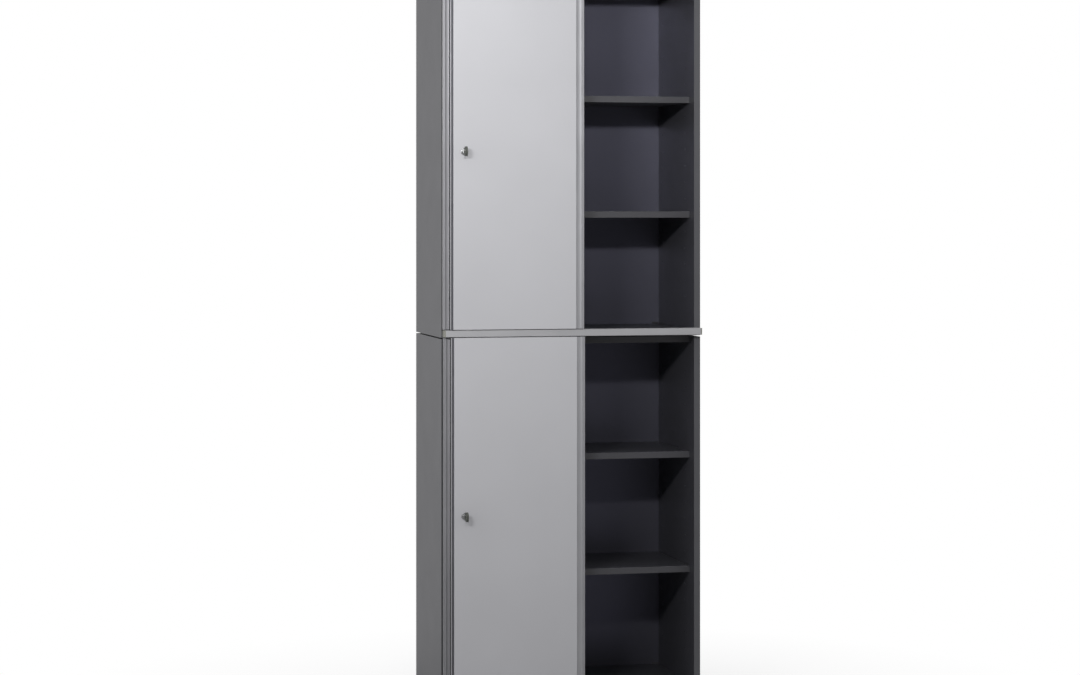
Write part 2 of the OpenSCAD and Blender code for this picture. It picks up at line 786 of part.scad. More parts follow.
door_strip(LOWER, FRONT);  // lower_front_strip
roller_carriers(LOWER, FRONT);  // lower_front_carriers
roller(LOWER, FRONT, LEFT);  // lower_front_roller_left
roller(LOWER, FRONT, RIGHT);  // lower_front_roller_right
guide_shoes(LOWER, FRONT);  // lower_front_shoes
lock_housing(LOWER);  // lower_lock_housing
lock_barrel(LOWER);  // lower_lock_barrel
lock_plug(LOWER);  // lower_lock_plug
key(LOWER);  // lower_key
door_panel(UPPER, REAR);  // upper_rear_panel
door_grip(UPPER, REAR);  // upper_rear_grip
door_strip(UPPER, REAR);  // upper_rear_strip
roller_carriers(UPPER, REAR);  // upper_rear_carriers
roller(UPPER, REAR, LEFT);  // upper_rear_roller_left
roller(UPPER, REAR, RIGHT);  // upper_rear_roller_right
guide_shoes(UPPER, REAR);  // upper_rear_shoes
door_panel(UPPER, FRONT);  // upper_front_panel
door_grip(UPPER, FRONT);  // upper_front_grip
door_strip(UPPER, FRONT);  // upper_front_strip
roller_carriers(UPPER, FRONT);  // upper_front_carriers
roller(UPPER, FRONT, LEFT);  // upper_front_roller_left
roller(UPPER, FRONT, RIGHT);  // upper_front_roller_right
guide_shoes(UPPER, FRONT);  // upper_front_shoes
lock_housing(UPPER);  // upper_lock_housing
lock_barrel(UPPER);  // upper_lock_barrel
lock_plug(UPPER);  // upper_lock_plug
key(UPPER);  // upper_key
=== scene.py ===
# Stacked filing cabinet with sliding doors: finishes, fittings, studio and camera.
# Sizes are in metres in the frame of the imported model, or in millimetres where a name says mm.
import json
import math

import bmesh
import bpy
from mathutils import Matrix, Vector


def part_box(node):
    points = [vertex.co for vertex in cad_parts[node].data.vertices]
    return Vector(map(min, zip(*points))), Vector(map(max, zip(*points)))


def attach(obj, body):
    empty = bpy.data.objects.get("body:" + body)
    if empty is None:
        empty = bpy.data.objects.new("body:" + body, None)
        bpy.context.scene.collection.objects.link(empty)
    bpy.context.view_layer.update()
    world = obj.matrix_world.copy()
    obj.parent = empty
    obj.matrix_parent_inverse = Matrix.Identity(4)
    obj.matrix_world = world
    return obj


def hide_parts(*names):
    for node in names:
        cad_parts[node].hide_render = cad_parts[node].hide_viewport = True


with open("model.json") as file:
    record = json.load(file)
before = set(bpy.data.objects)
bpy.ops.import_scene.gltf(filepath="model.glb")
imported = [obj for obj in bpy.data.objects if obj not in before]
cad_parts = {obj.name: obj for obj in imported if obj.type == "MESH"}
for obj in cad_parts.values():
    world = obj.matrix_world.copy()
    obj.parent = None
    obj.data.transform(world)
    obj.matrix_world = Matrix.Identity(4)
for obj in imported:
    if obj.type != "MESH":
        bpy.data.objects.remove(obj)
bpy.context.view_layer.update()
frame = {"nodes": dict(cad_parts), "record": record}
nodes = frame["nodes"]
slot_of = {row["node"]: row["material_slot"] for row in frame["record"]["subparts"]}
body_of = {
    node: body
    for body, members in frame["record"]["behaviour"]["bodies"].items()
    for node in members
}
MM = 0.001
UNITS = ("lower", "upper")
DOORS = ("rear", "front")


# Materials

# Part of a noise pattern's range that holds nearly all of its values.
NOISE_SPAN = {"From Min": 0.3, "From Max": 0.7}
# Patches, in typical widths: clouds in a pressed face, marks of hands and cloths, wear and
# nicks on a corner, blushes in anodising, flow marks in plastic, stains and dull plating.
CLOUD_MM = 260
PALM_MM = 90
WEAR_MM = 22
NICK_MM = 1.1
BLUSH_MM = 140
FLOW_MM = 30
STAIN_MM = 6
PLATING_MM = 4
# Fine lines and grains. Such ones are typically 0.1 to 0.3 mm wide, and they are drawn
# coarser so that they show at all.
EDGE_LINE_MM = 1.2
EDGE_GRAIN_MM = 1.6
DIE_LINE_MM = 0.9
LATHE_RING_MM = 0.35
# Scale of such a pattern along its lines, against 1 across them: this draws them out.
EDGE_STRETCH = 0.02
DIE_STRETCH = 0.004
# Least and greatest change that a pattern makes to the roughness of its finish.
FACE_SHEEN = (-0.04, 0.05)
WIPED_SHEEN = (-0.01, 0.012)
EDGE_SHEEN = (-0.04, 0.05)
DIE_SHEEN = (-0.05, 0.07)
MOULD_SHEEN = (-0.06, 0.06)
LATHE_SHEEN = (-0.05, 0.08)
PLATING_SHEEN = (-0.06, 0.1)
# Depth of the relief.
EDGE_RELIEF_MM = 0.01
NICK_RELIEF_MM = 0.06
DIE_RELIEF_MM = 0.012
MOULD_RELIEF_MM = 0.02
LATHE_RELIEF_MM = 0.02
PLATING_RELIEF_MM = 0.01
# Part of the wear's pattern over which a corner turns from sound to rubbed, and how much
# smoother it is there.
WEAR_SPAN = {"From Min": 0.5, "From Max": 0.62}
RUBBED_SMOOTHER = 0.14
# IOR of the moulded plastics, a little under their typical 1.5.
PLASTIC_IOR = 1.46


def linear(hex_colour):
    """Linear RGBA of an sRGB hex colour."""
    channels = [int(hex_colour[i : i + 2], 16) / 255 for i in (1, 3, 5)]
    return (
        *[c / 12.92 if c <= 0.04045 else ((c + 0.055) / 1.055) ** 2.4 for c in channels],
        1.0,
    )


def add(tree, kind, inputs=None, **settings):
    """Adds a node with its settings; inputs hold values, or sockets to link."""
    node = tree.nodes.new(kind)
    for name, value in settings.items():
        setattr(node, name, value)
    for name, value in (inputs or {}).items():
        if isinstance(value, bpy.types.NodeSocket):
            tree.links.new(value, node.inputs[name])
        else:
            node.inputs[name].default_value = value
    return node


def grains_per_metre(size_mm):
    """Noise scale that gives grains of this size."""
    return 1000 / size_mm


def blank_material(name):
    """A material with an empty tree, and the coordinates on the piece itself."""
    material = bpy.data.materials.new(name)
    material.use_nodes = True
    tree = material.node_tree
    tree.nodes.clear()
    return material, tree, add(tree, "ShaderNodeTexCoord").outputs["Object"]


def surfaced(tree, tones, shade, sheen, relief, depth_mm, more):
    """Ends a tree in a surface: its shade runs between two tones, its relief is this deep."""
    dark, light = tones
    tone = add(
        tree, "ShaderNodeMix", {0: shade, 6: linear(dark), 7: linear(light)}, data_type="RGBA"
    ).outputs[2]
    bump = add(tree, "ShaderNodeBump", {"Height": relief, "Distance": depth_mm * MM})
    surface = add(
        tree,
        "ShaderNodeBsdfPrincipled",
        {"Base Color": tone, "Roughness": sheen, "Normal": bump.outputs["Normal"], **more},
    )
    add(tree, "ShaderNodeOutputMaterial", {"Surface": surface.outputs["BSDF"]})


def pressed_face(name, tones, grain_mm, grain_depth_mm, gloss, ior=1.5, tint="#ffffff"):
    """Pressed or lacquered face of a board: a pearl grain, a faint cloudiness."""
    material, tree, place = blank_material(name)
    # A pearl grain is about 0.4 mm; it is drawn coarser so that it shows at all.
    pearl, cloud, wiped = [
        add(
            tree,
            "ShaderNodeTexNoise",
            {"Vector": place, "Scale": grains_per_metre(width_mm), "Detail": detail},
        ).outputs["Fac"]
        for width_mm, detail in ((grain_mm, 3.0), (CLOUD_MM, 2.0), (PALM_MM, 3.0))
    ]
    # Grain and clouds share the tone. Grain and wiping marks share the sheen.
    grain_tone, cloud_tone, grain_sheen, wiped_sheen = [
        add(
            tree,
            "ShaderNodeMapRange",
            {"Value": pattern, **NOISE_SPAN, "To Min": low, "To Max": high},
        ).outputs["Result"]
        for pattern, low, high in (
            (pearl, 0.0, 0.5),
            (cloud, 0.0, 0.5),
            (pearl, gloss + FACE_SHEEN[0], gloss + FACE_SHEEN[1]),
            (wiped, *WIPED_SHEEN),
        )
    ]
    shade, sheen = [
        add(tree, "ShaderNodeMath", {0: first, 1: second}, operation="ADD").outputs[0]
        for first, second in ((grain_tone, cloud_tone), (grain_sheen, wiped_sheen))
    ]
    surfaced(
        tree,
        tones,
        shade,
        sheen,
        pearl,
        grain_depth_mm,
        {"IOR": ior, "Specular Tint": linear(tint)},
    )
    return material


def edge_band(name, tones, gloss, ior):
    """ABS edging of a board: smoother than its face, with faint lines along the edge."""
    material, tree, place = blank_material(name)
    # Drawn out along X and Z, because an edge runs along the one or the other.
    along = add(
        tree, "ShaderNodeMapping", {"Vector": place, "Scale": (EDGE_STRETCH, 1, EDGE_STRETCH)}
    ).outputs["Vector"]
    lines, grain = [
        add(
            tree,
            "ShaderNodeTexNoise",
            {"Vector": vector, "Scale": grains_per_metre(width_mm), "Detail": detail},
        ).outputs["Fac"]
        for vector, width_mm, detail in ((along, EDGE_LINE_MM, 1.0), (place, EDGE_GRAIN_MM, 2.0))
    ]
    sheen = add(
        tree,
        "ShaderNodeMapRange",
        {
            "Value": grain,
            **NOISE_SPAN,
            "To Min": gloss + EDGE_SHEEN[0],
            "To Max": gloss + EDGE_SHEEN[1],
        },
    ).outputs["Result"]
    surfaced(tree, tones, lines, sheen, grain, EDGE_RELIEF_MM, {"IOR": ior})
    return material


def rubbed_corner(name, tones, gloss, metallic=0.0):
    """Rounded corner of a finish, rubbed lighter and smoother in patches by use."""
    material, tree, place = blank_material(name)
    wear, nicks = [
        add(
            tree,
            "ShaderNodeTexNoise",
            {"Vector": place, "Scale": grains_per_metre(width_mm), "Detail": detail},
        ).outputs["Fac"]
        for width_mm, detail in ((WEAR_MM, 4.0), (NICK_MM, 3.0))
    ]
    rubbed = add(tree, "ShaderNodeMapRange", {"Value": wear, **WEAR_SPAN}).outputs["Result"]
    sheen = add(
        tree,
        "ShaderNodeMapRange",
        {"Value": rubbed, "To Min": gloss, "To Max": gloss - RUBBED_SMOOTHER},
    ).outputs["Result"]
    surfaced(tree, tones, rubbed, sheen, nicks, NICK_RELIEF_MM, {"Metallic": metallic})
    return material


def anodised_extrusion(name, tones, along, gloss, metallic):
    """Silver anodised aluminium: satin, with die lines that run along the extrusion."""
    material, tree, place = blank_material(name)
    stretch = [DIE_STRETCH if axis == along else 1.0 for axis in "XYZ"]
    drawn = add(tree, "ShaderNodeMapping", {"Vector": place, "Scale": stretch}).outputs["Vector"]
    die_lines, blush = [
        add(
            tree,
            "ShaderNodeTexNoise",
            {"Vector": vector, "Scale": grains_per_metre(width_mm), "Detail": detail},
        ).outputs["Fac"]
        for vector, width_mm, detail in ((drawn, DIE_LINE_MM, 3.0), (place, BLUSH_MM, 2.0))
    ]
    shade = add(tree, "ShaderNodeMapRange", {"Value": blush, **NOISE_SPAN}).outputs["Result"]
    sheen = add(
        tree,
        "ShaderNodeMapRange",
        {
            "Value": die_lines,
            **NOISE_SPAN,
            "To Min": gloss + DIE_SHEEN[0],
            "To Max": gloss + DIE_SHEEN[1],
        },
    ).outputs["Result"]
    surfaced(tree, tones, shade, sheen, die_lines, DIE_RELIEF_MM, {"Metallic": metallic})
    return material


def moulded_plastic(name, tones, gloss, grain_mm=1.2):
    """Injection moulded plastic with the spark-eroded grain of its mould and flow marks."""
    material, tree, place = blank_material(name)
    # Such a grain is about 0.1 mm; it is drawn coarser so that it shows at all.
    grain, flow = [
        add(
            tree,
            "ShaderNodeTexNoise",
            {"Vector": place, "Scale": grains_per_metre(width_mm), "Detail": detail},
        ).outputs["Fac"]
        for width_mm, detail in ((grain_mm, 3.0), (FLOW_MM, 1.0))
    ]
    shade = add(tree, "ShaderNodeMapRange", {"Value": flow, **NOISE_SPAN}).outputs["Result"]
    sheen = add(
        tree,
        "ShaderNodeMapRange",
        {
            "Value": grain,
            **NOISE_SPAN,
            "To Min": gloss + MOULD_SHEEN[0],
            "To Max": gloss + MOULD_SHEEN[1],
        },
    ).outputs["Result"]
    surfaced(tree, tones, shade, sheen, grain, MOULD_RELIEF_MM, {"IOR": PLASTIC_IOR})
    return material


def turned_nickel(name, tones, gloss):
    """Turned and nickel plated brass: bright, with the fine rings of the lathe."""
    material, tree, place = blank_material(name)
    radius = add(tree, "ShaderNodeAttribute", attribute_name="turned_radius").outputs["Fac"]
    rings = add(
        tree,
        "ShaderNodeTexNoise",
        {"W": radius, "Scale": grains_per_metre(LATHE_RING_MM), "Detail": 2.0},
        noise_dimensions="1D",
    ).outputs["Fac"]
    stain = add(
        tree,
        "ShaderNodeTexNoise",
        {"Vector": place, "Scale": grains_per_metre(STAIN_MM), "Detail": 2.0},
    ).outputs["Fac"]
    shade = add(tree, "ShaderNodeMapRange", {"Value": stain, **NOISE_SPAN}).outputs["Result"]
    sheen = add(
        tree,
        "ShaderNodeMapRange",
        {
            "Value": rings,
            **NOISE_SPAN,
            "To Min": gloss + LATHE_SHEEN[0],
            "To Max": gloss + LATHE_SHEEN[1],
        },
    ).outputs["Result"]
    surfaced(tree, tones, shade, sheen, rings, LATHE_RELIEF_MM, {"Metallic": 1.0})
    return material


def plated_steel(name, tones, gloss):
    """Plated steel: bright, with soft grey patches."""
    material, tree, place = blank_material(name)
    patches = add(
        tree,
        "ShaderNodeTexNoise",
        {"Vector": place, "Scale": grains_per_metre(PLATING_MM), "Detail": 3.0},
    ).outputs["Fac"]
    shade = add(tree, "ShaderNodeMapRange", {"Value": patches, **NOISE_SPAN}).outputs["Result"]
    sheen = add(
        tree,
        "ShaderNodeMapRange",
        {
            "Value": patches,
            **NOISE_SPAN,
            "To Min": gloss + PLATING_SHEEN[0],
            "To Max": gloss + PLATING_SHEEN[1],
        },
    ).outputs["Result"]
    surfaced(tree, tones, shade, sheen, patches, PLATING_RELIEF_MM, {"Metallic": 1.0})
    return material


# Graphite melamine of the carcass: dark, faintly pearled, with a grey sheen from the side.
graphite_face = pressed_face(
    "graphite_melamine_face",
    ("#3e3e43", "#44444a"),
    grain_mm=1.6,
    grain_depth_mm=0.03,
    gloss=0.46,
)
# ABS edging of the boards: smoother than the faces and with more sheen, so a paler line.
graphite_edge = edge_band("graphite_edge_band", ("#434347", "#4a4a4f"), gloss=0.45, ior=1.66)
# The same edging on the side panels, with a paler tone as painted light for the light that their
# front edges catch.
graphite_side_edge_painted_light = edge_band(
    "graphite_side_edge_band_painted_light", ("#4a4a4e", "#525257"), gloss=0.45, ior=1.85
)
# Corners of the boards, rubbed by files and hands: thin, broken light lines.
graphite_corner = rubbed_corner("graphite_rubbed_corner", ("#4f4f53", "#77777c"), gloss=0.5)
# Light grey melamine of the doors: pale, almost even, with a soft sheen from the side.
grey_face = pressed_face(
    "light_grey_melamine_face",
    ("#bfbfc3", "#c6c6ca"),
    grain_mm=1.4,
    grain_depth_mm=0.015,
    gloss=0.42,
)
# Corners of the doors: rubbed in patches, hardly lighter than the faces.
grey_corner = rubbed_corner("light_grey_rubbed_corner", ("#bcbcc0", "#cfcfd2"), gloss=0.46)
# Lacquered hardboard of the backs: dark and even, with a strong bluish sheen.
back_face = pressed_face(
    "lacquered_hardboard",
    ("#434348", "#49494f"),
    grain_mm=2.2,
    grain_depth_mm=0.02,
    gloss=0.38,
    ior=2.05,
    tint="#dcdcff",
)
# Silver anodised rails: satin grey, with fine lines along the extrusion.
rail_metal = anodised_extrusion(
    "anodised_rail", ("#b8b8bb", "#c1c1c4"), along="X", gloss=0.5, metallic=0.5
)
# Corners of the rails, rubbed bright: thin light lines.
rail_corner = rubbed_corner(
    "anodised_rail_corner", ("#b4b4b7", "#d2d2d4"), gloss=0.42, metallic=0.6
)
# Roller tracks: the same metal, rolled smooth and bright by the rollers.
track_metal = anodised_extrusion(
    "anodised_rolled_track", ("#c0c0c3", "#d4d4d6"), along="X", gloss=0.3, metallic=0.8
)
# Anodised grips and strips of the doors: a shade darker than the rails and duller.
profile_metal = anodised_extrusion(
    "anodised_profile", ("#a1a1a5", "#aaaaae"), along="Z", gloss=0.52, metallic=0.35
)
# Corners of the grips and strips: matt and a little darker than their faces.
profile_corner = rubbed_corner(
    "anodised_profile_corner", ("#97979b", "#a5a5a9"), gloss=0.62, metallic=0.35
)
# Bottoms of the strips' grooves: the same metal, duller, and darkened as painted shade of the
# groove.
groove_shade_metal = anodised_extrusion(
    "anodised_groove_painted_shade", ("#5a5a60", "#66666c"), along="Z", gloss=0.66, metallic=0.2
)
# Painted shade on a profile's outer flank, where the doors close: a thin dark line by the metal,
# for the shadow in the gap.
painted_flank_shade = moulded_plastic("dark_painted_flank_shade", ("#1d1d1f", "#262628"), gloss=0.72)
# Moulded ABS end caps of the rails: a warm, matt grey.
cap_plastic = moulded_plastic("grey_moulded_cap", ("#83837a", "#8c8c82"), gloss=0.5)
# Moulded nylon clips of the back panels: small dark matt blocks.
clip_plastic = moulded_plastic("dark_moulded_clip", ("#3a3a3f", "#434348"), gloss=0.55)
# Moulded nylon carriers and shoes of the doors: black, with a soft shine.
gear_plastic = moulded_plastic("black_moulded_gear", ("#1d1d1f", "#262628"), gloss=0.42)
# Moulded polypropylene feet and spacers: black, a little duller.
feet_plastic = moulded_plastic("black_moulded_feet", ("#19191a", "#232324"), gloss=0.5)
# Turned nylon rollers: ivory and smooth.
roller_nylon = moulded_plastic("turned_nylon_roller", ("#cfcdc4", "#dbd9d1"), gloss=0.35)
# Turned and nickel plated lock: neutral and bright, with rings that catch the light.
lock_nickel = turned_nickel("turned_nickel_lock", ("#a6a7a8", "#bcbdbe"), gloss=0.36)
# Zinc plated shelf pins and screws: small bluish sparks.
pin_steel = plated_steel("zinc_plated_pin", ("#8f9296", "#b3b6ba"), gloss=0.3)
# Moulded ABS bow of the key: a greenish dark grey with a fine grain.
key_plastic = moulded_plastic(
    "moulded_key_bow", ("#474a45", "#50534d"), gloss=0.42, grain_mm=0.8
)
# Nickel plated blade of the key: bright and neutral.
key_steel = plated_steel("nickel_plated_key_blade", ("#a5a6a6", "#bdbebe"), gloss=0.28)

FINISH_OF_SLOT = {
    "back_board": back_face,
    "door_laminate": grey_face,
    "cap_plastic": cap_plastic,
    "gear_plastic": gear_plastic,
    "feet_plastic": feet_plastic,
    "roller_nylon": roller_nylon,
    "nickel_lock": lock_nickel,
    "nickel_pins": pin_steel,
}


# Pieces taken over from the frame, with rounded edges

# Points closer than this are one point.
WELD = 1e-6
# Faces that turn less than this are one flat face; edges that turn more get rounded.
FLAT_ANGLE = math.radians(0.2)
SHARP_ANGLE = math.radians(35)
# A face looks along an axis if this share of its normal points that way.
FACING = 0.9
# A face lies in a plane if its middle is no further off than this.
NEAR = 0.1 * MM


def merged_mesh(node):
    """bmesh of a node with doubles merged and the triangles of flat faces joined."""
    shape = bmesh.new()
    shape.from_mesh(nodes[node].data)
    bmesh.ops.remove_doubles(shape, verts=shape.verts, dist=WELD)
    bmesh.ops.dissolve_limit(
        shape, angle_limit=FLAT_ANGLE, verts=shape.verts, edges=shape.edges
    )
    return shape


def keep_piece(node, shape, materials, edge_mm, corner_slot=-1, axis=None):
    """Makes a bmesh the piece that stands for a node; axis is a lathe axis as (x, z)."""
    if axis:
        radius = shape.verts.layers.float.new("turned_radius")
        for point in shape.verts:
            point[radius] = math.hypot(point.co.x - axis[0], point.co.z - axis[1])
    name = f"{node}_finished"
    mesh = bpy.data.meshes.new(name)
    for material in materials:
        mesh.materials.append(material)
    shape.to_mesh(mesh)
    shape.free()
    mesh.shade_smooth()
    piece = bpy.data.objects.new(name, mesh)
    bpy.context.scene.collection.objects.link(piece)
    rounding = piece.modifiers.new("edges", "BEVEL")
    rounding.width = edge_mm * MM
    rounding.segments = 2
    rounding.limit_method = "ANGLE"
    rounding.angle_limit = SHARP_ANGLE
    rounding.material = corner_slot
    flat_faces = piece.modifiers.new("flat_faces", "WEIGHTED_NORMAL")
    flat_faces.mode = "FACE_AREA"
    flat_faces.weight = 100
    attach(piece, body_of[node])
    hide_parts(node)


def dressed(
    node, edge_mm, materials=None, corner=None, front_band_mm=0, tints=(), axis=None, reshape=None
):
    """A node's piece with rounded edges in a corner finish.

    front_band_mm is the depth of a front edging in the second material; each of tints is
    (slot, test) and gives the faces that pass the test the material in that slot; reshape
    moves a point of the mesh, in place.
    """
    shape = merged_mesh(node)
    if reshape:
        for point in shape.verts:
            reshape(point.co)
    materials = list(materials or [FINISH_OF_SLOT[slot_of[node]]])
    if front_band_mm:
        band_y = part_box(node)[0].y + front_band_mm * MM
        bmesh.ops.bisect_plane(
            shape,
            geom=[*shape.verts, *shape.edges, *shape.faces],
            plane_co=(0, band_y, 0),
            plane_no=(0, -1, 0),
        )
        tints = [(1, lambda centre, normal: centre.y < band_y), *tints]
    shape.normal_update()
    for index, test in tints:
        for face in shape.faces:
            if test(face.calc_center_median(), face.normal):
                face.material_index = index
    corner_slot = -1
    if corner:
        corner_slot = len(materials)
        materials.append(corner)
    keep_piece(node, shape, materials, edge_mm, corner_slot, axis)


BOARDS = [
    f"{unit}_{board}"
    for unit in UNITS
    for board in (
        "side_left",
        "side_right",
        "floor_board",
        "top_board",
        "shelf_low",
        "shelf_high",
    )
] + ["cover_board", "plinth_panel"]
for board in BOARDS:
    edge = graphite_side_edge_painted_light if "_side_" in board else graphite_edge
    dressed(
        board,
        edge_mm=0.5,
        materials=[graphite_face, edge],
        corner=graphite_corner,
        front_band_mm=1.0,
    )


# Doors: panels, grips and strips

# The metal, then painted shade on the outer flanks, then painted shade at the bottoms of the
# grooves.
PROFILE_FINISHES = [profile_metal, painted_flank_shade, groove_shade_metal]
# A face further behind a strip's front than this is the bottom of its groove.
STRIP_GROOVE_DEPTH = 3.5 * MM
# Spans of a grip's groove and finger recess, inward from its outer flank, and the depth of
# both with a little to spare. Their shares are how much of that depth is kept.
GRIP_GROOVE_SPAN = (3.2 * MM, 7.7 * MM)
GRIP_RECESS_SPAN = (7.9 * MM, 24.4 * MM)
GRIP_FRONT_DEPTH = 6.1 * MM
GROOVE_SHARE = 0.13
RECESS_SHARE = 0.35


def profile_painted_shades(node, outer_sign):
    """Painted shade: a dark sheet on a profile's outer flank, darkened metal at the bottom of its
    grooves.
    """
    low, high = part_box(node)
    flank = (high if outer_sign > 0 else low).x
    groove_y = low.y + STRIP_GROOVE_DEPTH

    # A profile's outer flank, dark with painted shade.
    def on_shaded_flank(centre, normal):
        return normal.x * outer_sign > FACING and abs(centre.x - flank) < NEAR

    # The bottom of a groove, which takes the darkened metal as painted shade.
    def in_shaded_groove(centre, normal):
        return normal.y < -FACING and centre.y > groove_y

    return [(1, on_shaded_flank), (2, in_shaded_groove)]


def soft_front(node, outer_sign):
    """Makes a grip's groove a mere line and its finger recess a soft hollow."""
    low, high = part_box(node)
    outer_x = high.x if outer_sign > 0 else low.x

    def lift(point):
        inward, depth = (outer_x - point.x) * outer_sign, point.y - low.y
        if depth > GRIP_FRONT_DEPTH:
            return
        if GRIP_GROOVE_SPAN[0] < inward < GRIP_GROOVE_SPAN[1]:
            point.y = low.y + depth * GROOVE_SHARE
        elif GRIP_RECESS_SPAN[0] < inward < GRIP_RECESS_SPAN[1]:
            point.y = low.y + depth * RECESS_SHARE

    return lift


for unit in UNITS:
    dressed(f"{unit}_back_panel", edge_mm=0.3)
    for door, grip_side in (("rear", -1), ("front", 1)):
        dressed(f"{unit}_{door}_panel", edge_mm=0.3, corner=grey_corner)
        grip, strip = f"{unit}_{door}_grip", f"{unit}_{door}_strip"
        dressed(
            grip,
            edge_mm=0.25,
            materials=PROFILE_FINISHES[:2],
            corner=profile_corner,
            tints=profile_painted_shades(grip, grip_side)[:1],
            reshape=soft_front(grip, grip_side),
        )
        dressed(
            strip,
            edge_mm=0.25,
            materials=PROFILE_FINISHES,
            corner=profile_corner,
            tints=profile_painted_shades(strip, -grip_side),
        )


# Rails, with the tracks that the rollers have polished

TRACK_DEPTH = 2.5 * MM
for rail in ("base_rail", "seam_rail", "head_guide"):
    rail_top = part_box(rail)[1].z

    def on_track(centre, normal, track_z=rail_top - TRACK_DEPTH):
        return normal.z > FACING and abs(centre.z - track_z) < NEAR

    dressed(
        rail,
        edge_mm=0.25,
        materials=[rail_metal, track_metal],
        corner=rail_corner,
        tints=[(1, on_track)],
    )


# Running gear and small fittings

EDGE_OF_FITTING_MM = {
    "rail_end_caps": 0.5,
    "levelling_feet": 0.6,
    "unit_spacers": 0.4,
    "shelf_pins": 0.3,
}
for node, edge_mm in EDGE_OF_FITTING_MM.items():
    dressed(node, edge_mm)
dressed("back_panel_clips", edge_mm=0.4, materials=[clip_plastic])
for unit in UNITS:
    for door in DOORS:
        dressed(f"{unit}_{door}_carriers", edge_mm=0.4)
        dressed(f"{unit}_{door}_shoes", edge_mm=0.4)
        for side in ("left", "right"):
            dressed(f"{unit}_{door}_roller_{side}", edge_mm=0.3)


# Locks and keys

LOCK_SECTIONS = {
    # Radius and depth in mm; depth runs from the barrel's front face to the rear.
    "lock_housing": (
        [8.05, 9.3],
        [8.35, 9.0],
        [9.4, 9.0],
        [10.4, 9.15],
        [11.1, 9.6],
        [11.45, 10.4],
        [11.5, 11.5],
        [9.5, 11.5],
        [9.5, 27.5],
        [4.05, 27.5],
        [4.05, 25.5],
        [8.05, 25.5],
    ),
    "lock_barrel": (
        [0.0, 15.0],
        [5.05, 15.0],
        [5.05, 0.3],
        [5.35, 0.0],
        [7.2, 0.0],
        [7.75, 0.25],
        [8.0, 0.8],
        [8.0, 17.0],
        [4.0, 17.0],
        [4.0, 22.8],
        [0.0, 22.8],
    ),
}
LATHE_STEPS = 96
# In front of the barrel the blade is bare as far as this, and further out the bow is full.
BLADE_BARE = 1.05 * MM
BOW_START = 3 * MM
BOW_FULLNESS = 1.6


def turned(node, section, axis, front_y, closed):
    """Turned piece on a lock's axis, with the lathe's radius kept for its finish."""
    shape = bmesh.new()
    points = [
        shape.verts.new((axis[0] + radius * MM, front_y + depth * MM, axis[1]))
        for radius, depth in section
    ]
    for first, second in zip(points, points[1:] + points[:1] if closed else points[1:]):
        shape.edges.new((first, second))
    bmesh.ops.spin(
        shape,
        geom=[*shape.verts, *shape.edges],
        cent=(axis[0], 0, axis[1]),
        axis=(0, 1, 0),
        angle=math.tau,
        steps=LATHE_STEPS,
    )
    bmesh.ops.remove_doubles(shape, verts=shape.verts, dist=WELD)
    bmesh.ops.recalc_face_normals(shape, faces=shape.faces)
    keep_piece(node, shape, [lock_nickel], edge_mm=0.12, axis=axis)


for unit in UNITS:
    low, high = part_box(f"{unit}_lock_housing")
    lock_axis = ((low.x + high.x) / 2, (low.z + high.z) / 2)
    barrel_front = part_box(f"{unit}_lock_barrel")[0].y
    for part, section in LOCK_SECTIONS.items():
        turned(f"{unit}_{part}", section, lock_axis, barrel_front, part == "lock_housing")
    dressed(f"{unit}_lock_plug", edge_mm=0.15, axis=lock_axis)

    def on_blade(centre, normal, bare_y=barrel_front - BLADE_BARE):
        return centre.y > bare_y

    # The moulded bow is thicker than the plate of the solid.
    def thickened(point, middle_x=lock_axis[0], bow_y=barrel_front - BOW_START):
        if point.y < bow_y:
            point.x = middle_x + (point.x - middle_x) * BOW_FULLNESS

    dressed(
        f"{unit}_key",
        edge_mm=0.6,
        materials=[key_plastic, key_steel],
        tints=[(1, on_blade)],
        reshape=thickened,
    )


# Screws, in rows made by geometry nodes

# Width of a screw head's flat top, as a share of its whole width, and the sides of its round.
CROWN_SHARE = 0.72
HEAD_SIDES = 32


